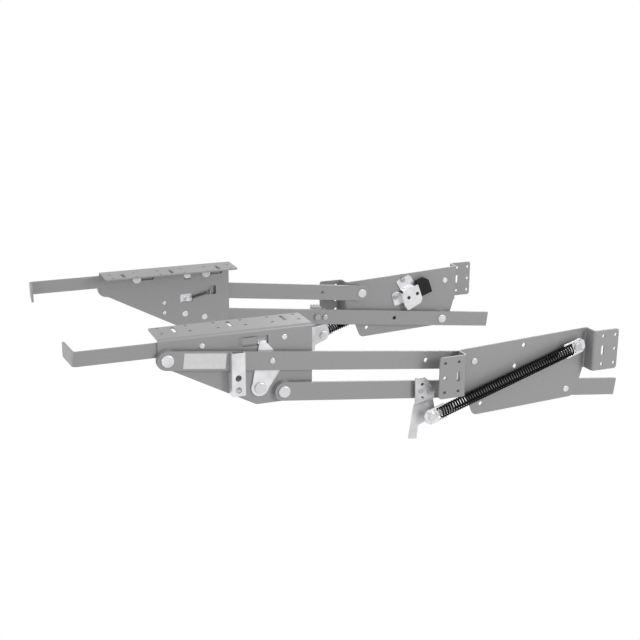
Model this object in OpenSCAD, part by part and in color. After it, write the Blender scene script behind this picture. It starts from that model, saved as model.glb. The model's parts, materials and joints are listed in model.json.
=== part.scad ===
// Spring-assisted appliance lift for a base cabinet: a right and a left arm unit.
// X runs to the back of the cabinet, Y from the right cabinet side to the left one, Z up.
// The origin is the centre of the right unit's front screw pattern, on the cabinet side.
// Both units are drawn in the frame of the right one, and the left one is its mirror image.

/* [Cabinet] */
// Clear width between the two cabinet sides
cabinet_w = 437.5; // [330:0.5:900]

/* [Linkage] */
// Length of both arms between their pivots
link_len = 437.4; // [425:0.1:450]
// Slope of the raised arms, down to the back
link_tilt = 6.63; // [5.5:0.01:8]
// Distance between the two pivots of a bracket
pivot_gap = 166.5; // [160:0.1:170]
// Slope of the line through those two pivots, down to the back
pivot_slope = 21.4; // [20:0.1:23]
// Upper pivot behind the front screw pattern
pivot_x = 46.5; // [44:0.1:50]
// Upper pivot above the front screw pattern
pivot_z = 10.9; // [8:0.1:13]
// Swing of the arms from raised to stored
lift_angle = 106; // [90:0.5:106]
// Shank diameter of the pivot rivets
pivot_d = 8; // [6:0.1:9]
// Head diameter of the pivot rivets
pivot_head_d = 16.5; // [13:0.1:18]

/* [Arms] */
// Width of the flat bar
arm_w = 25.4; // [22:0.1:27]
// Thickness of the flat bar
arm_t = 4; // [3:0.1:4.2]
// Lower arm behind its rear pivot
tail_len = 92.5; // [80:0.5:105]
// Diameter of the spare hole in each arm
arm_hole_d = 6.6; // [4:0.1:8]
// Spare hole of the upper arm, in front of its rear pivot
upper_hole_at = 72.6; // [60:0.1:90]
// Spare hole of the lower arm, in front of its rear pivot
lower_hole_at = 93.6; // [80:0.1:110]

/* [Base bracket] */
// Sheet thickness of the base bracket
base_t = 2.4; // [2:0.1:2.8]
// Depth of the spring recess, from the cabinet side to the plate
recess_d = 21.4; // [21.2:0.1:23]
// Length of the plate between the two bends
plate_len = 206.6; // [198:0.1:212]
// Width of the front flange
front_flange_w = 41.4; // [39:0.1:44]
// Width of the rear flange
rear_flange_w = 41.5; // [40:0.1:50]
// Height of both flanges
flange_h = 60; // [56:0.1:64]
// Rear flange above the front one
rear_rise = 10.6; // [8:0.1:12]
// Lowest point of the plate below the front screw pattern
plate_drop = 69.4; // [66:0.1:73]
// Inner radius of the bends
bend_r = 2; // [1:0.1:3]

/* [Screw patterns] */
// Distance between the two columns of cabinet screws
screw_dx = 20.9; // [18:0.1:22]
// Distance between the outer rows of cabinet screws
screw_dz = 42.1; // [36:0.1:46]
// Diameter of the cabinet screw holes
screw_d = 4.8; // [4:0.1:6]
// Length of the adjusting slot in each flange
slot_len = 14.5; // [10:0.1:18]
// Pitch of the shelf screw holes
shelf_pitch = 37.14; // [34:0.01:38]
// Distance between the two rows of shelf screw holes
shelf_row_gap = 23.2; // [18:0.1:24]
// Diameter of the shelf screw holes
shelf_hole_d = 4.5; // [4:0.1:5.5]
// Length of the slots across the shelf flange
shelf_slot_len = 22.5; // [15:0.1:24]

/* [Shelf bracket] */
// Sheet thickness of the shelf bracket
shelf_t = 2; // [1.6:0.1:2.4]
// Length of the shelf bracket
shelf_len = 207.1; // [205:0.1:215]
// Width of the flange below the shelf
shelf_flange_w = 51.8; // [50:0.1:60]
// Height of the web
web_h = 103.2; // [101:0.1:108]
// Height of the web at its front end
web_front_h = 34; // [31:0.1:37]
// Lowest corner of the web, behind its front end
web_corner_x = 128.9; // [124:0.1:135]
// Front pivot behind the front end of the web
shelf_pivot_x = 10.4; // [9:0.1:14]
// Front pivot below the shelf
shelf_pivot_z = 27.1; // [26:0.1:29]

/* [Release bar] */
// Height of the release bar
bar_h = 19; // [18:0.1:19.6]
// Thickness of the release bar
bar_t = 3.2; // [2.5:0.1:4]
// Centre of the release bar below the shelf
bar_z = 14.7; // [14.5:0.1:14.9]
// Release bar in front of the shelf bracket
bar_reach = 105.6; // [80:0.1:140]
// Length of the finger hook
hook_len = 48; // [30:0.1:55]
// Pull that opens the latch
bar_travel = 14; // [13.5:0.1:14.5]

/* [Latch] */
// Latch pivot behind the front end of the web
latch_x = 133.6; // [133:0.1:134.2]
// Latch pivot below the shelf
latch_z = 79.6; // [79.4:0.1:79.8]
// Thickness of the latch
latch_t = 2; // [1.6:0.1:2]
// Radius of the rounded foot of the latch
latch_foot_r = 12; // [10:0.1:12.5]
// Diameter of the catch pin
catch_d = 4.8; // [4:0.1:4.9]

/* [Balance spring] */
// Outer diameter of the coil
coil_d = 17.2; // [16.6:0.1:17.2]
// Diameter of the spring wire
wire_d = 3.2; // [2:0.1:3.2]
// Number of curls
curls = 45; // [40:1:46]
// Spring anchor behind the front screw pattern
anchor_x = 209.2; // [206:0.1:209.6]
// Spring anchor above the front screw pattern
anchor_z = 17; // [15:0.1:18]
// Lever pin in front of the lower rear pivot, along the arm
lever_pin_x = 220.7; // [219:0.1:222]
// Lever pin below the lower arm's centre line
lever_pin_z = 33.4; // [32.5:0.1:34.5]
// Width of the spring end plates
end_plate_w = 22; // [20:0.1:24]

/* [Damper] */
// Tilt of the damper
damper_tilt = 20; // [16:0.5:24]
// Centre of the damper above the front screw pattern
damper_z = 4.7; // [3:0.1:6]
// Stroke of the damper head
damper_stroke = 5; // [3:0.1:6]

/* [Hidden] */
$fn = 48;
// Running clearance of a hinge, on the radius
run_c = 0.05;
// Gap between pieces that slide past each other
gap = 0.3;
// Small overshoot of a cut
cut = 1;

// Layers from the cabinet side inwards: recess, plate, arms, shelf web, release bar
plate_y = recess_d;
plate_in = plate_y + base_t;
arm_y = 28.3;
arm_in = arm_y + arm_t;
web_y = 35.8;
web_in = web_y + shelf_t;
bar_y = web_in + gap;
coil_y = 11.3;

// Pivots in the frame of the unit, as [x, z]
A = [pivot_x, pivot_z];
B = A + pivot_gap * [cos(pivot_slope), -sin(pivot_slope)];
C = A - link_len * [cos(link_tilt), -sin(link_tilt)];
D = C + B - A;
shelf_org = [C[0] - shelf_pivot_x, C[1] + shelf_pivot_z];
anchor = [anchor_x, anchor_z];

// A point of the lower arm, given along the arm from B and across it
function on_arm(u, w) =
    B + u * [cos(link_tilt), -sin(link_tilt)] + w * [sin(link_tilt), cos(link_tilt)];
lever_pin = on_arm(-lever_pin_x, -lever_pin_z);
spring_len = norm(anchor - lever_pin);
spring_angle = atan2(anchor[1] - lever_pin[1], anchor[0] - lever_pin[0]);

// Bends of the base bracket
screw_edge = 22.85;
front_x0 = screw_edge - front_flange_w;
front_bend = screw_edge;
rear_bend = front_bend + plate_len;
rear_x1 = rear_bend + rear_flange_w;
rear_screw_x = rear_bend + 26.1;
corner_r = 4;

// Shelf screw holes, measured inwards from the outer face of the web
shelf_row_1 = 23.1;
shelf_hole_x0 = 11.3;
shelf_hole_n = 6;

// Two rivets that carry the release bar, behind the front end of the web
bar_rivet_x = [57.2, 168.2];
bar_rivet_d = 6;
bar_slot = bar_travel + 10;
bar_head_d = 14;

// Latch window in the web and the finger of the latch that reaches through it
finger_x = [0.6, 9.6];
finger_z = [58.7, 63.4];
window = [[latch_x - 22.5, -22.4], [latch_x + 12.4, -9.5]];
lip_z = [-18.7, -10];
bar_notch = [[latch_x + finger_x[0] - 1.4, -22.4], [latch_x + finger_x[1] + 0.4, -15]];
tab_hole = [[126.4, -60.6], [146.4, -47.4]];
spring_window = [[174.7, -51.7], [185.3, -37.6]];
spring_tab = [7, 25];
latch_spring_d = 4.2;
latch_y = web_y - 0.4 - latch_t;
catch_at = norm([latch_x + 15.3 - shelf_pivot_x, 16]);

// Stop bracket, behind the front end of the web and below the shelf
stop_x = [91.7, 110.7];
stop_z = [-83, -25];
stop_t = 2;
stop_bend = 3.2;
stop_y = 20;
stop_screw_x = 100;
stop_screw_z = [-58.5, -74.7];
stop_screw_d = 4;

// Balance lever, bolted to the outer side of the lower arm
lever_t = 2.5;
lever_y = 21.3;
lever_step = 3;
lever_bolt_at = [238.7, 223.9];
lever_bolt_d = 6;

// Spring end plates
end_t = 2;
shoulder = 8;
tongue_w = 8.6;
rail_len = 13;
tongue_len = 26;

function unit(v) = v / norm(v);
// Arc that rounds the corner b between a and c
function fillet(a, b, c, r, n = 6) =
    let (u = unit(a - b), v = unit(c - b), h = acos(max(-1, min(1, u * v))) / 2,
         m = b + unit(u + v) * r / sin(h),
         s = b + u * r / tan(h) - m, e = b + v * r / tan(h) - m,
         a0 = atan2(s[1], s[0]), turn = (atan2(e[1], e[0]) - a0 + 900) % 360 - 180)
    [for (i = [0 : n]) m + r * [cos(a0 + turn * i / n), sin(a0 + turn * i / n)]];
// Outline whose corners are given as [x, y, radius]
function rounded(p) =
    let (n = len(p), q = [for (c = p) [c[0], c[1]]])
    [for (i = [0 : n - 1])
        each p[i][2] == 0 ? [q[i]] : fillet(q[(i + n - 1) % n], q[i], q[(i + 1) % n], p[i][2])];

// Sheet from y0 to y0 + t whose outline is drawn in X and Z
module sheet_y(y0, t) {
    translate([0, y0 + t, 0]) rotate([90, 0, 0]) linear_extrude(t) children();
}
// Round bar along Y
module rod_y(p, y0, len, d) {
    translate([p[0], y0, p[1]]) rotate([-90, 0, 0]) cylinder(h = len, d = d);
}
// Hexagon along Y
module hex_y(p, y0, len, af) {
    translate([p[0], y0, p[1]]) rotate([-90, 0, 0]) cylinder(h = len, d = af / cos(30), $fn = 6);
}
// Low domed head along Y, flat side at y0, towards dir
module head_y(p, y0, h, d, dir) {
    r = d / 2;
    translate([p[0], y0, p[1]]) rotate([-90 * dir, 0, 0])
        rotate_extrude() polygon(rounded([[0, 0, 0], [r, 0, 0], [r, h, h * 0.7], [0, h, 0]]));
}
// Ring along Y
module ring_y(p, y0, len, d, bore) {
    difference() {
        rod_y(p, y0, len, d);
        rod_y(p, y0 - cut, len + 2 * cut, bore);
    }
}
// Slot along Z in a sheet
module slot_z(p, y0, len, l, d) {
    rod_y([p[0], p[1] - (l - d) / 2], y0, len, d);
    rod_y([p[0], p[1] + (l - d) / 2], y0, len, d);
    translate([p[0] - d / 2, y0, p[1] - (l - d) / 2]) cube([d, len, l - d]);
}
// Frame of an arm: origin at its rear pivot, X along the arm to the back
module arm_frame(p) {
    translate([p[0], 0, p[1]]) rotate([0, link_tilt, 0]) children();
}
// Frame of the shelf bracket: origin at its front upper corner
module shelf_frame() {
    translate([shelf_org[0], 0, shelf_org[1]]) children();
}
// Frame of the spring: origin at the lever pin, X towards the anchor
module spring_frame() {
    translate([lever_pin[0], 0, lever_pin[1]]) rotate([0, -spring_angle, 0]) children();
}
module right() { children(); }
module left() { translate([0, cabinet_w, 0]) mirror([0, 1, 0]) children(); }

// Base bracket: hat-shaped sheet with two screw flanges and a plate between them
module hat_profile() {
    ro = bend_r + base_t;
    polygon(rounded([
        [front_x0, 0, 0], [front_bend, 0, ro], [front_bend, plate_y, bend_r],
        [rear_bend, plate_y, bend_r], [rear_bend, 0, ro], [rear_x1, 0, 0],
        [rear_x1, base_t, 0], [rear_bend + base_t, base_t, bend_r],
        [rear_bend + base_t, plate_in, ro], [front_bend - base_t, plate_in, ro],
        [front_bend - base_t, base_t, bend_r], [front_x0, base_t, 0]]));
}
module base_outline() {
    top = flange_h / 2;
    polygon(rounded([
        [front_x0, -top, corner_r], [front_x0, top, corner_r], [front_bend, top, 0],
        [rear_bend, top + rear_rise, 0], [rear_x1, top + rear_rise, corner_r],
        [rear_x1, rear_rise - top, corner_r], [rear_bend - 1.5, rear_rise - top, 3],
        [rear_bend - 5.6, -34.5, 0], [rear_bend - 13.4, -58.2, 3],
        [rear_bend - 20, 6.9 - plate_drop, 0], [front_bend + 25.6, -plate_drop, 8],
        [front_bend + 9.4, -top, 0]]));
}
module screw_holes(x, z, slot_dx) {
    for (sx = [-1, 1], sz = [-1, 1])
        rod_y([x + sx * screw_dx / 2, z + sz * screw_dz / 2], -cut, base_t + 2 * cut, screw_d);
    rod_y([x - slot_dx, z], -cut, base_t + 2 * cut, screw_d);
    slot_z([x + slot_dx, z], -cut, base_t + 2 * cut, slot_len, screw_d);
}
damper_holes = [[125.7, 25.5], [112.6, -4.1]];
damper_hole_d = 6;
module base_plate() {
    color([0.58, 0.58, 0.58]) difference() {
        intersection() {
            translate([0, 0, -100]) linear_extrude(200) hat_profile();
            sheet_y(-cut, plate_in + 2 * cut) base_outline();
        }
        screw_holes(0, 0, screw_dx / 2);
        screw_holes(rear_screw_x, rear_rise, -screw_dx / 2);
        for (p = damper_holes, up = [0, 1])
            rod_y(p + [0, 2.8 * up], plate_y - cut, base_t + 2 * cut, up == 0 ? damper_hole_d : 2.6);
        rod_y([front_bend + 37.1, -53.6], plate_y - cut, base_t + 2 * cut, damper_hole_d);
        for (p = [A, B, anchor]) rod_y(p, plate_y - cut, base_t + 2 * cut, pivot_d + 2 * run_c);
    }
}

// Rivet of a base pivot: head inside the arm, shank through arm and plate, peened tail
module base_rivet(p) {
    head_t = 2.6;
    color([0.86, 0.86, 0.88]) {
        head_y(p, arm_in + 0.1, head_t, pivot_head_d - 1.5, 1);
        rod_y(p, plate_y - 1.2, arm_in + 0.1 - plate_y + 1.2, pivot_d);
        head_y(p, plate_y, 1.2, pivot_d + 1.5, -1);
    }
}
module base_spacers() {
    color([0.6, 0.6, 0.6])
        for (p = [A, B]) ring_y(p, plate_in, arm_y - plate_in - 0.1, arm_w + 2, pivot_d + 2 * run_c);
}
// Riveted stud behind the spring anchor, peened on the inner side of the plate
module anchor_stud() {
    color([0.86, 0.86, 0.88]) {
        rod_y(anchor, plate_y - 4.5, 4.5, pivot_d + 4);
        rod_y(anchor, plate_y - 1, base_t + 1, pivot_d);
        head_y(anchor, plate_in, 1.2, pivot_d + 1.5, 1);
    }
}

// Upper arm: flat bar with round ends
module upper_arm() {
    color([0.58, 0.58, 0.58]) arm_frame(A) difference() {
        sheet_y(arm_y, arm_t) {
            translate([-link_len, -arm_w / 2]) square([link_len, arm_w]);
            circle(d = arm_w);
            translate([-link_len, 0]) circle(d = arm_w);
        }
        for (x = [0, -link_len]) rod_y([x, 0], arm_y - cut, arm_t + 2 * cut, pivot_d + 2 * run_c);
        rod_y([-upper_hole_at, 0], arm_y - cut, arm_t + 2 * cut, arm_hole_d);
        rod_y([catch_at - link_len, 0], arm_y - cut, arm_t + 2 * cut, catch_d);
    }
}
// Pin of the upper arm that the latch hooks over
module catch_pin() {
    color([0.86, 0.86, 0.88]) arm_frame(A) {
        p = [catch_at - link_len, 0];
        head_y(p, arm_y, 1.4, catch_d + 2.8, -1);
        rod_y(p, arm_y, web_y - gap - arm_y, catch_d);
    }
}
// Blank pale sticker on the outer side of the upper arm
module blank_sticker() {
    color([0.92, 0.92, 0.92]) arm_frame(A)
        sheet_y(arm_y - 0.25, 0.25) translate([20.8 - link_len, -10.2]) square([55.6, 20.4]);
}
// Lower arm: round front end, and a square tail behind the rear pivot
module lower_arm() {
    color([0.58, 0.58, 0.58]) arm_frame(B) difference() {
        sheet_y(arm_y, arm_t) {
            translate([-link_len, -arm_w / 2]) square([link_len + tail_len, arm_w]);
            translate([-link_len, 0]) circle(d = arm_w);
        }
        for (x = [0, -link_len]) rod_y([x, 0], arm_y - cut, arm_t + 2 * cut, pivot_d + 2 * run_c);
        rod_y([-lower_hole_at, 0], arm_y - cut, arm_t + 2 * cut, arm_hole_d);
        for (u = lever_bolt_at) rod_y([-u, 0], arm_y - cut, arm_t + 2 * cut, lever_bolt_d);
    }
}

// Balance lever: plate beside the arm, whose leg and ear are set inwards below a slanted bend
lever_bend = [-244.4, -20.8];
lever_slant = 19;
module lever_profile() {
    out = lever_y;
    in = lever_y + lever_step;
    polygon(rounded([
        [out, 60, 0], [out + lever_t, 60, 0], [out + lever_t, 2.6, 2], [in + lever_t, -1.4, 2],
        [in + lever_t, -80, 0], [in, -80, 0], [in, -2.6, 2], [out, 1.4, 2]]));
}
module balance_lever() {
    color([0.8, 0.8, 0.83]) arm_frame(B) difference() {
        intersection() {
            translate([lever_bend[0], 0, lever_bend[1]]) rotate([0, -lever_slant, 0])
                rotate([90, 0, 90]) translate([0, 0, -60]) linear_extrude(150) lever_profile();
            sheet_y(lever_y - cut, lever_t + lever_step + 2 * cut) polygon(rounded([
                [-250, 19, 2], [-236, 20, 2], [-230, 16, 3], [-218, 0, 3], [-216.5, -12, 0],
                [-211, -28, 4], [-213, -40, 6], [-233.6, -51, 1], [-233.4, -71, 1],
                [-245.9, -71, 1], [-244.4, -20.8, 0]]));
        }
        for (p = [[-237.7, 9.5], [-235, -10]])
            rod_y(p, lever_y - cut, lever_t + 2 * cut, 4.5);
        for (u = lever_bolt_at) rod_y([-u, 0], lever_y - cut, lever_t + 2 * cut, lever_bolt_d);
        rod_y([-lever_pin_x, -lever_pin_z], lever_y, 10, pivot_d);
    }
}
// Two bolts with spacer sleeves that carry the lever on the arm
module lever_bolts() {
    color([0.86, 0.86, 0.88]) arm_frame(B) {
        lever_in = lever_y + lever_t;
        for (i = [0, 1]) {
            p = [-lever_bolt_at[i], 0];
            rod_y(p, lever_y - (i == 0 ? 0 : 1), arm_in - lever_y + 2, lever_bolt_d - 0.1);
            ring_y(p, lever_in, arm_y - lever_in, 10, lever_bolt_d - 0.1);
        }
        head_y([-lever_bolt_at[0], 0], lever_y, 0.6, 8, -1);
        hex_y([-lever_bolt_at[0], 0], arm_in, 4, 10);
        hex_y([-lever_bolt_at[1], 0], lever_y - 4, 4, 9);
        head_y([-lever_bolt_at[1], 0], arm_in, 3, 10, 1);
    }
}
// Shouldered pin that carries the lower end of the spring, with its nut behind the ear
module lever_pin_bolt() {
    ear_y = lever_y + lever_step;
    end_y = coil_y - end_t / 2;
    color([0.86, 0.86, 0.88]) arm_frame(B) {
        p = [-lever_pin_x, -lever_pin_z];
        head_y(p, end_y - 0.1, 2.4, 13, -1);
        rod_y(p, end_y - 0.2, ear_y + lever_t + 4.6 - end_y, pivot_d - 0.1);
        rod_y(p, end_y + end_t + 0.1, ear_y - end_y - end_t - 0.1, pivot_d + 4);
        hex_y(p, ear_y + lever_t, 4, 12);
    }
}

// Notched plate at each end of the coil, pivot at the origin, coil towards +X
module end_plate() {
    w = end_plate_w / 2;
    rail_in = coil_d / 2 + gap;
    difference() {
        sheet_y(coil_y - end_t / 2, end_t) polygon(rounded([
            [-12, -w / 2, 2], [-12, w / 2, 2], [-6, w, 2], [shoulder + rail_len, w, 1],
            [shoulder + rail_len, rail_in, 0.5], [shoulder, rail_in, 0],
            [shoulder, tongue_w / 2, 0], [shoulder + tongue_len, tongue_w / 2, 2],
            [shoulder + tongue_len, -tongue_w / 2, 2], [shoulder, -tongue_w / 2, 0],
            [shoulder, -rail_in, 0], [shoulder + rail_len, -rail_in, 0.5],
            [shoulder + rail_len, -w, 1], [-6, -w, 2]]));
        rod_y([0, 0], coil_y - end_t, 2 * end_t, pivot_d + 2 * run_c);
        for (s = [-1, 1], x = [-5.5, shoulder - 3]) rod_y([x, s * 7.4], coil_y - end_t, 2 * end_t, 2.4);
    }
}
module spring_lower_plate() {
    color([0.9, 0.9, 0.92]) spring_frame() end_plate();
}
module spring_upper_plate() {
    color([0.9, 0.9, 0.92]) spring_frame() translate([spring_len, 0, 0]) mirror([1, 0, 0]) end_plate();
}
// Pin of the upper end plate, which sits on the anchor stud when the lift is at either end
module spring_upper_pin() {
    end_y = coil_y - end_t / 2;
    color([0.86, 0.86, 0.88]) {
        head_y(anchor, end_y - 0.1, 2, 12, -1);
        rod_y(anchor, end_y - 0.2, plate_y - 4.5 - gap - end_y + 0.2, pivot_d);
        rod_y(anchor, end_y + end_t + 0.1, plate_y - 4.5 - gap - end_y - end_t - 0.1, pivot_d + 4);
    }
}

// Coil of the balance spring: one tube, straight for one wire diameter at both shoulders
coil_r = (coil_d - wire_d) / 2;
coil_x0 = shoulder + wire_d;
coil_x1 = spring_len - shoulder - wire_d;
curl_n = 8;
coil_steps = curls * curl_n;
coil_path = [for (i = [0 : coil_steps])
    let (f = 360 * i / curl_n) [coil_x0 + (coil_x1 - coil_x0) * i / coil_steps,
        coil_r * sin(f), coil_r * cos(f)]];
// A ring of six points about p, spanned by the unit vectors a and b
function ring6(p, a, b) = [for (k = [0 : 5]) p + wire_d / 2 * (cos(60 * k) * a + sin(60 * k) * b)];
function coil_ring(i) =
    let (f = 360 * i / curl_n, a = [0, sin(f), cos(f)], t = [0, cos(f), -sin(f)],
         corner = (i == 0 || i == coil_steps) ? 1 : 0, b = cross(t, a) - corner * t)
    ring6(coil_path[i], a, b);
module assist_spring() {
    first = [shoulder, 0, coil_r];
    last = [spring_len - shoulder, 0, coil_r];
    up = [0, 0, 1];
    side = [0, 1, 0];
    rings = concat([ring6(first, up, -side)], [for (i = [0 : coil_steps]) coil_ring(i)],
        [ring6(last, up, -side)]);
    n = len(rings);
    points = [for (r = rings) each r];
    walls = [for (i = [0 : n - 2], k = [0 : 5])
        let (a = 6 * i + k, b = 6 * i + (k + 1) % 6) each [[a, b, a + 6], [b, b + 6, a + 6]]];
    caps = [for (k = [1 : 4]) each [[0, k + 1, k], [6 * n - 6, 6 * n - 6 + k, 6 * n - 5 + k]]];
    color([0.12, 0.12, 0.12]) spring_frame() translate([0, coil_y, 0])
        polyhedron(points, concat(walls, caps));
}
// Least gap of the coil to itself, between points at least most of a curl apart
coil_gap = min([for (i = [0 : coil_steps - 6], j = [i + 6 : min(i + 10, coil_steps)])
    norm(coil_path[i] - coil_path[j])]) - wire_d;
echo(least_gap_of_the_coil_to_itself = coil_gap);

// Shelf bracket: web with two pivots, and a flange that carries the shelf
module shelf_bracket() {
    flange_y = web_y + shelf_flange_w;
    ro = bend_r + shelf_t;
    color([0.62, 0.62, 0.62]) shelf_frame() {
        difference() {
            intersection() {
                rotate([90, 0, 90]) linear_extrude(shelf_len) polygon(rounded([
                    [web_y, -web_h, 0], [web_y, 0, ro], [flange_y, 0, 0], [flange_y, -shelf_t, 0],
                    [web_in, -shelf_t, bend_r], [web_in, -web_h, 0]]));
                sheet_y(web_y - cut, shelf_flange_w + 2 * cut) polygon(rounded([
                    [0, 0, 0], [0, -web_front_h, 3], [web_corner_x, -web_h, 4],
                    [shelf_len, -web_h, 4], [shelf_len, 0, 0]]));
                translate([0, 0, -web_h - cut]) linear_extrude(web_h + 2 * cut) polygon(rounded([
                    [0, web_y - cut, 0], [0, flange_y, 4], [shelf_len, flange_y, 4],
                    [shelf_len, web_y - cut, 0]]));
            }
            for (i = [0 : shelf_hole_n - 1], j = [0, 1])
                translate([shelf_hole_x0 + i * shelf_pitch, web_y + shelf_row_1 + j * shelf_row_gap,
                    -shelf_t - cut]) cylinder(h = shelf_t + 2 * cut, d = shelf_hole_d);
            for (i = [0 : 2 : shelf_hole_n - 1])
                translate([shelf_hole_x0 + (i + 0.5) * shelf_pitch,
                    web_y + shelf_row_1 + shelf_row_gap / 2, -shelf_t / 2]) shelf_slot();
            for (p = [[shelf_pivot_x, -shelf_pivot_z], D - shelf_org])
                rod_y(p, web_y - cut, shelf_t + 2 * cut, pivot_d);
            rod_y([latch_x, -latch_z], web_y - cut, shelf_t + 2 * cut, pivot_d);
            for (x = bar_rivet_x) rod_y([x, -bar_z], web_y - cut, shelf_t + 2 * cut, bar_rivet_d);
            for (z = stop_screw_z) rod_y([stop_screw_x, z], web_y - cut, shelf_t + 2 * cut, stop_screw_d);
            for (w = [window, tab_hole, spring_window]) web_cut(w);
        }
        // Tongue lanced out of the window and set outwards, so that the latch finger passes inside it
        translate([window[0][0], 0, lip_z[0]]) linear_extrude(lip_z[1] - lip_z[0]) polygon([
            [-6, web_in - 0.2], [-6, web_y], [-1, web_y - 2.4], [18, web_y - 2.4],
            [18, web_y - 0.4], [-0.3, web_y - 0.4]]);
        // Tongue that holds the latch spring
        translate([spring_window[0][0] - 1, web_in - 0.5, -51]) cube([2, 5.5, 8]);
    }
}
module shelf_slot() {
    w = shelf_hole_d + 0.5;
    half = (shelf_slot_len - w) / 2;
    for (s = [-1, 1]) translate([0, s * half, -2 * shelf_t]) cylinder(h = 4 * shelf_t, d = w);
    translate([-w / 2, -half, -2 * shelf_t]) cube([w, 2 * half, 4 * shelf_t]);
}
// Rectangular opening in the web, given by its two corners
module web_cut(w) {
    sheet_y(web_y - cut, shelf_t + 2 * cut) polygon(rounded([
        [w[0][0], w[0][1], 1], [w[0][0], w[1][1], 1], [w[1][0], w[1][1], 1], [w[1][0], w[0][1], 1]]));
}

// Rivet of a shelf pivot: head outside the arm, shank flush with the inner face of the web
module shelf_rivet(p, tail) {
    color([0.86, 0.86, 0.88]) {
        head_y(p, arm_y - 0.1, 2.6, pivot_head_d, -1);
        rod_y(p, arm_y - 0.1, web_in - arm_y + 0.1, pivot_d);
        if (tail) head_y(p, web_in, 1.2, pivot_d + 1.5, 1);
    }
}
module shelf_spacers() {
    color([0.6, 0.6, 0.6])
        for (p = [C, D]) ring_y(p, arm_in + 0.1, web_y - arm_in - 0.1, arm_w + 2, pivot_d);
}

// Release bar: flat bar inside the web, with a finger hook at its front end
module release_bar() {
    r = 3;
    color([0.58, 0.58, 0.58]) shelf_frame() difference() {
        translate([0, 0, -bar_z - bar_h / 2]) linear_extrude(bar_h) polygon(rounded([
            [shelf_len - 3.7, bar_y, 0], [-bar_reach, bar_y, r + bar_t],
            [-bar_reach - 4, bar_y + hook_len, 1], [-bar_reach - 4 + bar_t, bar_y + hook_len, 1],
            [-bar_reach + bar_t, bar_y + bar_t, r], [shelf_len - 3.7, bar_y + bar_t, 0]]));
        for (x = bar_rivet_x) {
            for (dx = [0, bar_slot]) rod_y([x + dx, -bar_z], bar_y - cut, bar_t + 2 * cut, bar_rivet_d + 0.6);
            translate([x, bar_y - cut, -bar_z - bar_rivet_d / 2 - 0.3])
                cube([bar_slot, bar_t + 2 * cut, bar_rivet_d + 0.6]);
        }
        translate([bar_notch[0][0], bar_y - cut, bar_notch[0][1]])
            cube([bar_notch[1][0] - bar_notch[0][0], bar_t + 2 * cut, bar_notch[1][1] - bar_notch[0][1]]);
    }
}
module bar_rivets() {
    color([0.86, 0.86, 0.88]) shelf_frame() for (x = bar_rivet_x) {
        p = [x, -bar_z];
        head_y(p, bar_y + bar_t + 0.2, 2.4, bar_head_d, 1);
        rod_y(p, web_y, bar_y + bar_t + 0.2 - web_y, bar_rivet_d);
        head_y(p, web_y, 1.2, bar_rivet_d + 1.5, -1);
    }
}

// Latch: hooked plate between the web and the upper arm, in its own pivot's frame
module latch() {
    top = finger_z[0] + 1.3;
    color([0.84, 0.84, 0.87]) shelf_frame() translate([latch_x, 0, -latch_z]) difference() {
        union() {
            sheet_y(latch_y, latch_t) polygon(rounded([
                [-latch_foot_r + 0.8, 1.3, 0], [-6.9, 26.2, 0], [-1.8, 53.4, 0], [-0.5, top, 1],
                [finger_x[1] + 0.6, top, 1], [17.6, 51, 2], [22.5, 43.5, 2], [22, 39.7, 0.5],
                [11.5, 39.7, 0], [11.5, 32, 0], [20.5, 29.8, 2], [28.2, 21.8, 3],
                [latch_foot_r - 2.2, -5.5, 0], [0, 0, 0]]));
            sheet_y(latch_y, latch_t) circle(r = latch_foot_r);
            // Finger through the window of the web, which the release bar pulls
            translate([finger_x[0], latch_y, finger_z[0]])
                cube([finger_x[1] - finger_x[0], web_y - latch_y, top - finger_z[0]]);
            translate([finger_x[0], web_y - 0.1, finger_z[0]])
                cube([finger_x[1] - finger_x[0], bar_y + bar_t - web_y, finger_z[1] - finger_z[0]]);
            // Tab through the web, pulled by the latch spring
            translate([spring_tab[0] - 5.5, latch_y, spring_tab[1] - 3.5])
                cube([5.5, web_in + 4.4 - latch_y, 5]);
        }
        rod_y([0, 0], latch_y - cut, latch_t + 2 * cut, pivot_d + 2 * run_c);
    }
}
module latch_rivet() {
    color([0.86, 0.86, 0.88]) shelf_frame() {
        p = [latch_x, -latch_z];
        head_y(p, latch_y - 0.1, 2.4, 15.5, -1);
        rod_y(p, latch_y - 0.1, web_in - latch_y + 0.1, pivot_d);
        ring_y(p, latch_y + latch_t + 0.1, web_y - latch_y - latch_t - 0.1, 14, pivot_d);
        head_y(p, web_in, 1.2, pivot_d + 1.5, 1);
    }
}
// Thin pull spring from the latch tab to the tongue of the web
module latch_spring() {
    a = [latch_x + spring_tab[0], spring_tab[1] - latch_z];
    b = [spring_window[0][0] - 1, -46.5];
    inset = gap + latch_spring_d / 4;
    color([0.25, 0.25, 0.25]) shelf_frame()
        translate([a[0], web_in + 2.6, a[1]]) rotate([0, 90 - atan2(b[1] - a[1], b[0] - a[0]), 0])
            translate([0, 0, inset]) cylinder(h = norm(b - a) - 2 * inset, d = latch_spring_d);
}

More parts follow.
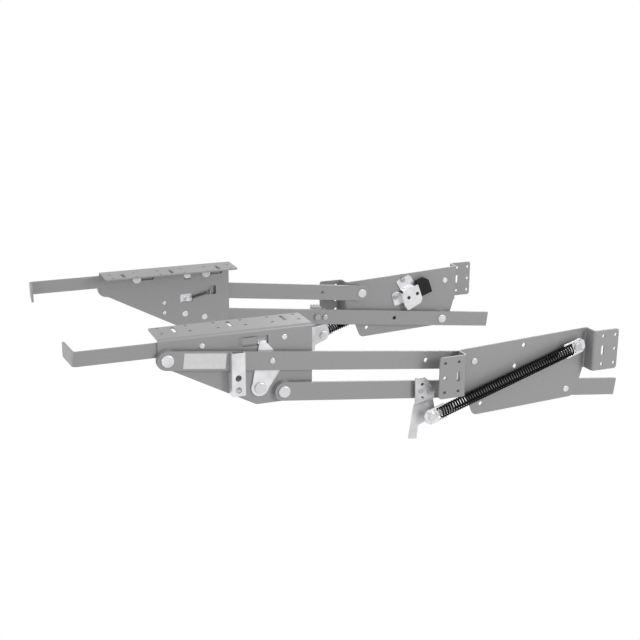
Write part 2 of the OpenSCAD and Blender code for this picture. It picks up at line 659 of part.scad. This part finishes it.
// Stop bracket: channel whose shoulders carry the raised upper arm
module stop_bracket() {
    w = stop_x[1] - stop_x[0];
    depth = web_y - stop_y;
    shoulder_z = -shelf_pivot_z - (stop_x[1] - shelf_pivot_x) * tan(link_tilt)
        - arm_w / 2 / cos(link_tilt) - gap;
    color([0.84, 0.84, 0.87]) shelf_frame() difference() {
        translate([stop_x[0], stop_y, stop_z[0]]) linear_extrude(stop_z[1] - stop_z[0]) difference() {
            polygon(rounded([[0, 0, stop_bend], [w, 0, stop_bend], [w, depth, 0], [0, depth, 0]]));
            polygon(rounded([[stop_t, stop_t, stop_bend - stop_t],
                [w - stop_t, stop_t, stop_bend - stop_t],
                [w - stop_t, depth - stop_t, 0], [stop_t, depth - stop_t, 0]]));
        }
        // Room for the arm above the shoulders
        translate([stop_x[0] - cut, arm_y - gap, shoulder_z])
            cube([w + 2 * cut, depth, stop_z[1] - shoulder_z + cut]);
        for (z = stop_screw_z) {
            rod_y([stop_screw_x, z], stop_y - cut, stop_t + 2 * cut, 8.4);
            rod_y([stop_screw_x, z], web_y - stop_t - cut, stop_t + 2 * cut, stop_screw_d);
        }
    }
}
module stop_screws() {
    color([0.86, 0.86, 0.88]) shelf_frame() for (z = stop_screw_z) {
        p = [stop_screw_x, z];
        head_y(p, web_y - stop_t, 2.6, 7.4, -1);
        rod_y(p, web_y - stop_t, shelf_t + stop_t + 1, stop_screw_d);
        head_y(p, web_in, 1.4, stop_screw_d + 2, 1);
    }
}

// Damper that meets the tail of the lower arm as the lift reaches the stored position
cap_x = [8, 31];
cap_z = [-14, 15];
// A point of the front face of the tail in the stored position, and its lean to the front
stored = lift_angle - link_tilt;
tail_face = B - arm_w / 2 * [sin(stored), -cos(stored)];
cap_corner = [cap_x[1] * cos(damper_tilt) - cap_z[0] * sin(damper_tilt),
    cap_x[1] * sin(damper_tilt) + cap_z[0] * cos(damper_tilt)];
damper_org = [tail_face[0] + (damper_z + cap_corner[1] - tail_face[1]) / tan(stored)
    - gap - cap_corner[0], damper_z];
module damper_frame() {
    translate([damper_org[0], 0, damper_org[1]]) rotate([0, -damper_tilt, 0]) children();
}
cap_y = [plate_in + 2.4, plate_in + 10.4];
damper_mid = (cap_y[0] + cap_y[1]) / 2;
damper_rod_d = 4;
damper_t = 2;
cylinder_x = [-20, cap_x[0] - damper_stroke - 1];
cylinder_d = 7.4;
module damper_bracket() {
    low = plate_in;
    high = cap_y[1];
    color([0.88, 0.88, 0.9]) difference() {
        damper_frame() {
            sheet_y(high, damper_t) polygon(rounded([
                [-22.5, 9, 2], [8.9, 11, 2], [8.9, -17, 3], [3.5, -23.2, 3], [-22.8, -25.7, 3],
                [-26.4, -14.9, 3]]));
            sheet_y(low, damper_t) polygon(rounded([
                [-24.3, 29.3, 3], [1.4, 30.4, 4], [4, 26.6, 2], [8.7, 9, 0], [-20.4, 9, 0]]));
            sheet_y(low, damper_t) polygon(rounded([
                [-38.7, 10.6, 3], [-29.2, 12.5, 2], [-21.5, 6, 0], [-23.5, -13, 0], [-41.1, -11.6, 3]]));
            // Folded walls between the two levels
            translate([-21, low, 9]) cube([22.5, high + damper_t - low, damper_t]);
            translate([-25.6, low, -13]) cube([damper_t, high + damper_t - low, 21]);
        }
        for (p = damper_holes) rod_y(p, low - cut, damper_t + 2 * cut, damper_hole_d);
        damper_frame() for (x = [-14.5, 2.8])
            rod_y([x, -4.4], high - cut, damper_t + 2 * cut, 6.2);
    }
}
module damper_screws() {
    color([0.86, 0.86, 0.88]) for (p = damper_holes) {
        head_y(p, plate_in + damper_t, 2.2, 8.5, 1);
        rod_y(p, plate_y - 2, base_t + damper_t + 2, 4.2);
    }
}
module damper_cylinder() {
    color([0.3, 0.3, 0.32]) damper_frame() difference() {
        union() {
            along_x(cylinder_x[0], cylinder_x[1] - cylinder_x[0], cylinder_d);
            // Foot that seats the cylinder on the bracket
            translate([cylinder_x[0] + 3, damper_mid, -3])
                cube([cylinder_x[1] - cylinder_x[0] - 6, cap_y[1] - damper_mid, 6]);
        }
        along_x(cylinder_x[0] + 4, cylinder_x[1] - cylinder_x[0], damper_rod_d + 2 * run_c);
    }
}
module along_x(x, len, d) {
    translate([x, damper_mid, 0]) rotate([0, 90, 0]) cylinder(h = len, d = d);
}
module damper_cap() {
    color([0.1, 0.1, 0.1]) damper_frame() {
        sheet_y(cap_y[0], cap_y[1] - cap_y[0] - gap) polygon(rounded([
            [cap_x[0], cap_z[0], 1], [cap_x[1], cap_z[0], 0], [cap_x[1], cap_z[1] - 6, 1],
            [cap_x[1] - 6, cap_z[1], 1], [cap_x[0], cap_z[1], 1]]));
        along_x(cylinder_x[0] + 4 + damper_stroke, cap_x[0] - cylinder_x[0] - 3 - damper_stroke,
            damper_rod_d);
    }
}

right() base_plate();  // right_base_plate
right() upper_arm();  // right_upper_arm
right() lower_arm();  // right_lower_arm
right() shelf_bracket();  // right_shelf_bracket
right() release_bar();  // right_release_bar
right() bar_rivets();  // right_bar_rivets
right() latch();  // right_latch
right() latch_rivet();  // right_latch_rivet
right() latch_spring();  // right_latch_spring
right() catch_pin();  // right_catch_pin
right() stop_bracket();  // right_stop_bracket
right() stop_screws();  // right_stop_screws
right() balance_lever();  // right_balance_lever
right() lever_bolts();  // right_lever_bolts
right() lever_pin_bolt();  // right_lever_pin
right() spring_lower_plate();  // right_spring_lower_plate
right() assist_spring();  // right_assist_spring
right() spring_upper_plate();  // right_spring_upper_plate
right() spring_upper_pin();  // right_spring_upper_pin
right() anchor_stud();  // right_anchor_stud
right() base_rivet(A);  // right_upper_arm_rivet
right() base_rivet(B);  // right_lower_arm_rivet
right() shelf_rivet(C, false);  // right_shelf_front_rivet
right() shelf_rivet(D, true);  // right_shelf_rear_rivet
right() base_spacers();  // right_base_spacers
right() shelf_spacers();  // right_shelf_spacers
right() blank_sticker();  // right_sticker
left() base_plate();  // left_base_plate
left() upper_arm();  // left_upper_arm
left() lower_arm();  // left_lower_arm
left() shelf_bracket();  // left_shelf_bracket
left() release_bar();  // left_release_bar
left() bar_rivets();  // left_bar_rivets
left() latch();  // left_latch
left() latch_rivet();  // left_latch_rivet
left() latch_spring();  // left_latch_spring
left() catch_pin();  // left_catch_pin
left() stop_bracket();  // left_stop_bracket
left() stop_screws();  // left_stop_screws
left() balance_lever();  // left_balance_lever
left() lever_bolts();  // left_lever_bolts
left() lever_pin_bolt();  // left_lever_pin
left() spring_lower_plate();  // left_spring_lower_plate
left() assist_spring();  // left_assist_spring
left() spring_upper_plate();  // left_spring_upper_plate
left() spring_upper_pin();  // left_spring_upper_pin
left() anchor_stud();  // left_anchor_stud
left() base_rivet(A);  // left_upper_arm_rivet
left() base_rivet(B);  // left_lower_arm_rivet
left() shelf_rivet(C, false);  // left_shelf_front_rivet
left() shelf_rivet(D, true);  // left_shelf_rear_rivet
left() base_spacers();  // left_base_spacers
left() shelf_spacers();  // left_shelf_spacers
left() damper_bracket();  // left_damper_bracket
left() damper_cylinder();  // left_damper_cylinder
left() damper_cap();  // left_damper_cap
left() damper_screws();  // left_damper_screws
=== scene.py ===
"""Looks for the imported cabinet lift: materials, edges, coil springs, light and camera."""

import json
import math

import bpy
from mathutils import Matrix, Vector


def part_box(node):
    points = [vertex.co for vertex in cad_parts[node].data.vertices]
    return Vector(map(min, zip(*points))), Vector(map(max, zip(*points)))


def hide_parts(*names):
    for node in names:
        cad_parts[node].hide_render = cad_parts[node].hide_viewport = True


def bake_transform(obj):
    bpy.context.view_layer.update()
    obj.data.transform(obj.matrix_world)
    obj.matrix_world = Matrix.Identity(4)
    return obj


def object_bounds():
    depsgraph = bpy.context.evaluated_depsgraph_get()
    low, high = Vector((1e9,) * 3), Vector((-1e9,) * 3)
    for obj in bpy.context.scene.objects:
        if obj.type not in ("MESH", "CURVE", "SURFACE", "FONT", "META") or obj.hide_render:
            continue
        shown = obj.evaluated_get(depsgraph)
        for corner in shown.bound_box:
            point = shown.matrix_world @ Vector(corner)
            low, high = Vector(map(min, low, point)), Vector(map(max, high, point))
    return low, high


MM = 0.001
SIDES = ("right", "left")

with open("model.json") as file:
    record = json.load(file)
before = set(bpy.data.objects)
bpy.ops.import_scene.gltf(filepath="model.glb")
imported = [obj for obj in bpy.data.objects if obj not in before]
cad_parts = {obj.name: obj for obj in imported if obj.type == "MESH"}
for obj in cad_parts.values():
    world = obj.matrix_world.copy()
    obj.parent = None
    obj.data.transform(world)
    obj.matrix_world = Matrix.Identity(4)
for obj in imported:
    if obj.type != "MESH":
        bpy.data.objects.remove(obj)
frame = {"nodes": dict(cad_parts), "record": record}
cad_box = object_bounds()
NODES = frame["nodes"]
JOINTS = {joint["name"]: joint for joint in frame["record"]["behaviour"]["joints"]}


# Materials

def new_material(name, colour, metallic, roughness):
    material = bpy.data.materials.new(name)
    material.use_nodes = True
    shader = material.node_tree.nodes["Principled BSDF"]
    shader.inputs["Base Color"].default_value = (*colour, 1.0)
    shader.inputs["Metallic"].default_value = metallic
    shader.inputs["Roughness"].default_value = roughness
    return material, material.node_tree, shader


def noise(tree, scale, detail=3.0, stretch=(1.0, 1.0, 1.0)):
    """Value of a noise over the piece's own coordinates, so that it moves with the piece."""
    nodes = tree.nodes
    place = nodes.new("ShaderNodeTexCoord")
    mapping = nodes.new("ShaderNodeMapping")
    mapping.inputs["Scale"].default_value = stretch
    texture = nodes.new("ShaderNodeTexNoise")
    texture.inputs["Scale"].default_value = scale
    texture.inputs["Detail"].default_value = detail
    tree.links.new(place.outputs["Object"], mapping.inputs["Vector"])
    tree.links.new(mapping.outputs["Vector"], texture.inputs["Vector"])
    return texture.outputs["Fac"]


RAMP_LOW = 0.3
RAMP_HIGH = 0.7


def vary_colour(tree, shader, source, low, high):
    ramp = tree.nodes.new("ShaderNodeValToRGB")
    first, last = ramp.color_ramp.elements
    first.position = RAMP_LOW
    last.position = RAMP_HIGH
    first.color = (*low, 1.0)
    last.color = (*high, 1.0)
    tree.links.new(source, ramp.inputs["Fac"])
    tree.links.new(ramp.outputs["Color"], shader.inputs["Base Color"])


def vary_roughness(tree, shader, source, low, high):
    span = tree.nodes.new("ShaderNodeMapRange")
    span.inputs["To Min"].default_value = low
    span.inputs["To Max"].default_value = high
    tree.links.new(source, span.inputs["Value"])
    tree.links.new(span.outputs["Result"], shader.inputs["Roughness"])


def add_bump(tree, shader, source, strength, distance):
    bump = tree.nodes.new("ShaderNodeBump")
    bump.inputs["Strength"].default_value = strength
    bump.inputs["Distance"].default_value = distance
    tree.links.new(source, bump.inputs["Height"])
    tree.links.new(bump.outputs["Normal"], shader.inputs["Normal"])


def grey(value, blue=1.0):
    return (value, value, value * blue)


def paint(name, low, high):
    """Silver-grey powder paint: faint metal flake, orange-peel bump and cloudy gloss."""
    material, tree, shader = new_material(name, grey(high), metallic=0.35, roughness=0.42)
    flake = noise(tree, scale=900, detail=2)
    cloud = noise(tree, scale=25)
    peel = noise(tree, scale=420, detail=2)
    vary_colour(tree, shader, flake, grey(low, blue=1.01), grey(high, blue=1.02))
    vary_roughness(tree, shader, cloud, low=0.36, high=0.5)
    add_bump(tree, shader, peel, strength=0.12, distance=0.3 * MM)
    return material


def zinc(name, low, high, rough, metallic=0.8):
    """Zinc plating or bare steel: cloudy patches and fine rolling marks."""
    material, tree, shader = new_material(name, grey(high), metallic, rough)
    cloud = noise(tree, scale=60, detail=5)
    sheen = noise(tree, scale=140, detail=4, stretch=(1, 1, 8))
    marks = noise(tree, scale=300, detail=2, stretch=(1, 1, 10))
    vary_colour(tree, shader, cloud, grey(low, blue=1.03), grey(high, blue=1.02))
    vary_roughness(tree, shader, sheen, low=rough - 0.08, high=rough + 0.1)
    add_bump(tree, shader, marks, strength=0.06, distance=0.2 * MM)
    return material


def plastic(name, low, high, rough, grain, gloss=0.25):
    """Plastic, film or coating: even grey with a fine grain."""
    material, tree, shader = new_material(name, grey(high), 0.0, rough)
    shader.inputs["Specular IOR Level"].default_value = gloss
    vary_colour(tree, shader, noise(tree, scale=200), grey(low), grey(high))
    add_bump(tree, shader, noise(tree, grain, detail=2), strength=0.15, distance=0.2 * MM)
    return material


MATERIALS = {
    "arm_paint": paint("silver_grey_paint", 0.28, 0.312),
    "zinc": zinc("bright_zinc", 0.64, 0.82, rough=0.3, metallic=0.6),
    "rivet_steel": zinc("rivet_steel", 0.6, 0.74, rough=0.26, metallic=0.45),
    "dull_zinc": zinc("dull_zinc", 0.5, 0.68, rough=0.35, metallic=0.6),
    "bolt_steel": zinc("bolt_steel", 0.34, 0.5, rough=0.28, metallic=0.7),
    "spacer_steel": zinc("spacer_steel", 0.34, 0.42, rough=0.4),
    "spring_black": plastic("black_spring_wire", 0.005, 0.008, rough=0.4, grain=700, gloss=0.06),
    "small_spring": zinc("spring_steel", 0.07, 0.12, rough=0.3, metallic=0.5),
    "pale_sticker": plastic("sticker_film", 0.58, 0.63, rough=0.45, grain=900),
    "damper_body": plastic("dark_damper_plastic", 0.04, 0.055, rough=0.3, grain=800),
    "black_plastic": plastic("black_cap_plastic", 0.008, 0.014, rough=0.6, grain=600),
}

# Pieces whose finish is duller than that of their slot
DULLER = {
    "balance_lever": "dull_zinc",
    "lever_bolts": "bolt_steel",
    "lever_pin": "dull_zinc",
    "spring_upper_pin": "dull_zinc",
    "damper_screws": "bolt_steel",
}

for part in frame["record"]["subparts"]:
    piece = NODES[part["node"]]
    kind = part["node"].split("_", 1)[1]
    piece.data.materials.clear()
    piece.data.materials.append(MATERIALS[DULLER.get(kind, part["material_slot"])])


# The front shelf rivet ends flush in the painted web, and its end is painted over

FACES_END = 0.9
END_GAP = 0.01 * MM


def paint_inner_end(side):
    name = f"{side}_shelf_front_rivet"
    piece = NODES[name]
    inwards = 1 if side == "right" else -1
    low, high = (corner[1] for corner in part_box(name))
    end_y = high if side == "right" else low
    piece.data.materials.append(MATERIALS["arm_paint"])
    for face in piece.data.polygons:
        if face.normal.y * inwards > FACES_END and abs(face.center.y - end_y) < END_GAP:
            face.material_index = 1


for side in SIDES:
    paint_inner_end(side)


# Rounded edges, so that sheet and bar edges catch the light

WELD_GAP = 0.001 * MM
FLAT_ANGLE = math.radians(0.5)
EDGE_R = 0.35 * MM
EDGE_ANGLE = math.radians(50)
BEVELLED = ("base_plate", "upper_arm", "lower_arm", "shelf_bracket", "release_bar", "latch",
            "stop_bracket", "balance_lever", "spring_lower_plate", "spring_upper_plate")


def round_edges(piece):
    """Joins the corners, dissolves flat faces, which would show as lines, and rounds the edges."""
    weld = piece.modifiers.new("weld", "WELD")
    weld.merge_threshold = WELD_GAP
    flat = piece.modifiers.new("flat", "DECIMATE")
    flat.decimate_type = "DISSOLVE"
    flat.angle_limit = FLAT_ANGLE
    bevel = piece.modifiers.new("edge", "BEVEL")
    bevel.width = EDGE_R
    bevel.segments = 2
    bevel.limit_method = "ANGLE"
    bevel.angle_limit = EDGE_ANGLE


for side in SIDES:
    for name in BEVELLED:
        round_edges(NODES[f"{side}_{name}"])
round_edges(NODES["left_damper_bracket"])


# Pieces made here

def new_piece(name, vertices, faces, slot):
    mesh = bpy.data.meshes.new(name)
    mesh.from_pydata(vertices, [], faces)
    mesh.update()
    mesh.polygons.foreach_set("use_smooth", [True] * len(mesh.polygons))
    mesh.materials.append(MATERIALS[slot])
    piece = bpy.data.objects.new(name, mesh)
    bpy.context.scene.collection.objects.link(piece)
    return piece


def tube(path, radius, sides):
    """Vertices and faces of a closed round tube along a path."""
    vertices = []
    faces = []
    count = len(path)
    across = (path[1] - path[0]).normalized().orthogonal()
    for i, point in enumerate(path):
        before = path[max(i - 1, 0)]
        after = path[min(i + 1, count - 1)]
        ahead = (after - before).normalized()
        across = (across - ahead * across.dot(ahead)).normalized()
        up = ahead.cross(across)
        for k in range(sides):
            angle = 2 * math.pi * k / sides
            vertices.append(point + radius * (math.cos(angle) * across + math.sin(angle) * up))
    for i in range(count - 1):
        for k in range(sides):
            a = i * sides + k
            b = i * sides + (k + 1) % sides
            faces.append((a, b, b + sides, a + sides))
    faces.append(tuple(reversed(range(sides))))
    faces.append(tuple(range((count - 1) * sides, count * sides)))
    return vertices, faces


def helix(start, along, side_a, side_b, length, radius, curls, steps):
    """Points of a helix about the line from start, whose first point lies along side_a."""
    points = []
    for i in range(curls * steps + 1):
        angle = 2 * math.pi * i / steps
        out = radius * (math.cos(angle) * side_a + math.sin(angle) * side_b)
        points.append(start + along * (length * i / (curls * steps)) + out)
    return points


# Balance springs: the finer curls of the photograph in round wire, within the part's own coil.
# The real coil grows longer as the lift is lowered; this one keeps its rest length.

WIRE_R = 1.2 * MM
WIRE_SIDES = 10
COIL_R = 7.4 * MM
CURLS = 57
CURL_STEPS = 24
SHOULDER = 8.0 * MM
LEAD = 11.2 * MM
SPRING_SPAN = 242.5 * MM


def make_balance_spring(side):
    along = Vector(JOINTS[f"{side}_spring_stretch"]["axis"]).normalized()
    start = Vector(JOINTS[f"{side}_spring_swing"]["pos_m"])
    inwards = Vector((0, 1 if side == "right" else -1, 0))
    up = (Vector((0, 0, 1)) - along * along.z).normalized()
    length = SPRING_SPAN - 2 * LEAD
    coil = helix(start + along * LEAD, along, up, inwards, length, COIL_R, CURLS, CURL_STEPS)
    first = start + along * SHOULDER + up * COIL_R
    last = start + along * (SPRING_SPAN - SHOULDER) + up * COIL_R
    vertices, faces = tube([first] + coil + [last], WIRE_R, WIRE_SIDES)
    piece = new_piece(f"{side}_balance_coil", vertices, faces, "spring_black")
    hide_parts(f"{side}_assist_spring")
    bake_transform(piece)


# Latch springs: fine coil between a tab of the web and the latch, which pulls it longer

LATCH_SPRING_R = 2.1 * MM
LATCH_WIRE_R = 0.35 * MM
LATCH_WIRE_SIDES = 6
LATCH_CURLS = 22
LATCH_CURL_STEPS = 14
LATCH_LEAN = math.radians(13.8)
EYE = 3 * MM
EYE_SHARE = 0.2


def make_latch_spring(side):
    low, high = (Vector(corner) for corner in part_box(f"{side}_latch_spring"))
    mid_y = (low.y + high.y) / 2
    edge_x = LATCH_SPRING_R * math.sin(LATCH_LEAN)
    edge_z = LATCH_SPRING_R * math.cos(LATCH_LEAN)
    a = Vector((low.x + edge_x, mid_y, low.z + edge_z))
    b = Vector((high.x - edge_x, mid_y, high.z - edge_z))
    along = (b - a).normalized()
    across = Vector((0, 1, 0))
    up = along.cross(across)
    coil_r = LATCH_SPRING_R - LATCH_WIRE_R
    length = (b - a).length - 2 * EYE
    coil = helix(a + along * EYE, along, up, across, length, coil_r, LATCH_CURLS,
                 LATCH_CURL_STEPS)
    first = a + up * coil_r * EYE_SHARE
    last = b + up * coil_r * EYE_SHARE
    vertices, faces = tube([first] + coil + [last], LATCH_WIRE_R, LATCH_WIRE_SIDES)
    piece = new_piece(f"{side}_latch_coil", vertices, faces, "small_spring")
    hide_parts(f"{side}_latch_spring")
    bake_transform(piece)


for side in SIDES:
    make_balance_spring(side)
    make_latch_spring(side)


# Floor, light and camera

def aim(piece, target):
    piece.rotation_euler = (target - piece.location).to_track_quat("-Z", "Y").to_euler()


def add_lamp(name, place, target, size, power):
    lamp = bpy.data.lights.new(name, "AREA")
    lamp.size = size
    lamp.energy = power
    holder = bpy.data.objects.new(name, lamp)
    holder.location = place
    bpy.context.scene.collection.objects.link(holder)
    aim(holder, target)


def larger(tree, a, b):
    node = tree.nodes.new("ShaderNodeMath")
    node.operation = "MAXIMUM"
    tree.links.new(a, node.inputs[0])
    tree.links.new(b, node.inputs[1])
    return node.outputs["Value"]


def white_to_the_eye(tree, shader_output, target):
    """Shows white to the camera, in gloss and through glass, and the shader to other rays."""
    rays = tree.nodes.new("ShaderNodeLightPath").outputs
    glow = tree.nodes.new("ShaderNodeEmission")
    mix = tree.nodes.new("ShaderNodeMixShader")
    gloss = larger(tree, rays["Is Glossy Ray"], rays["Is Transmission Ray"])
    tree.links.new(larger(tree, rays["Is Camera Ray"], gloss), mix.inputs["Fac"])
    tree.links.new(shader_output, mix.inputs[1])
    tree.links.new(glow.outputs["Emission"], mix.inputs[2])
    tree.links.new(mix.outputs["Shader"], target)


middle = (Vector(cad_box[0]) + Vector(cad_box[1])) / 2
FLOOR_Z = -1.8
FLOOR_SIZE = 9.0
FLOOR_GREY = 0.86
bpy.ops.mesh.primitive_plane_add(size=FLOOR_SIZE, location=(middle.x, middle.y, FLOOR_Z))
floor = bpy.context.object
floor.name = "floor"
floor_material, floor_tree, floor_shader = new_material("pale_floor", grey(FLOOR_GREY), 0.0, 0.7)
add_bump(floor_tree, floor_shader, noise(floor_tree, scale=60), strength=0.02, distance=1 * MM)
white_to_the_eye(floor_tree, floor_shader.outputs["BSDF"],
                 floor_tree.nodes["Material Output"].inputs["Surface"])
floor.data.materials.append(floor_material)

SKY_STRENGTH = 0.76
world = bpy.data.worlds.new("studio")
world.use_nodes = True
bpy.context.scene.world = world
sky = world.node_tree.nodes["Background"]
sky.inputs["Color"].default_value = (1, 1, 1, 1)
sky.inputs["Strength"].default_value = SKY_STRENGTH
white_to_the_eye(world.node_tree, sky.outputs["Background"],
                 world.node_tree.nodes["World Output"].inputs["Surface"])

add_lamp("key", (0.9, -1.7, 0.75), middle, size=0.5, power=16.5)
add_lamp("top", (0.1, 0.3, 1.9), middle, size=1.6, power=3)
add_lamp("front", (-1.9, 0.3, 0.35), middle, size=1.0, power=8)
add_lamp("back", (0.9, 1.5, 0.8), middle, size=1.0, power=8)

CAMERA_AT = Vector((-0.70845, -1.26546, 0.51153))
CAMERA_LOOK = Vector((0.36026827, 0.8876694, -0.28679229))
CAMERA_UP = Vector((0.10184892, 0.26816994, 0.95797269))
LENS = 62.85
SENSOR_WIDTH = 36.0
CLIP_END = 50
camera_data = bpy.data.cameras.new("camera")
camera_data.sensor_width = SENSOR_WIDTH
camera_data.lens = LENS
camera_data.clip_end = CLIP_END
camera = bpy.data.objects.new("camera", camera_data)
camera_right = CAMERA_LOOK.cross(CAMERA_UP).normalized()
camera_up = camera_right.cross(CAMERA_LOOK).normalized()
turn = Matrix((camera_right, camera_up, -CAMERA_LOOK.normalized())).transposed()
camera.matrix_world = Matrix.Translation(CAMERA_AT) @ turn.to_4x4()
bpy.context.scene.collection.objects.link(camera)
bpy.context.scene.camera = camera
bpy.context.scene.view_settings.view_transform = "Standard"
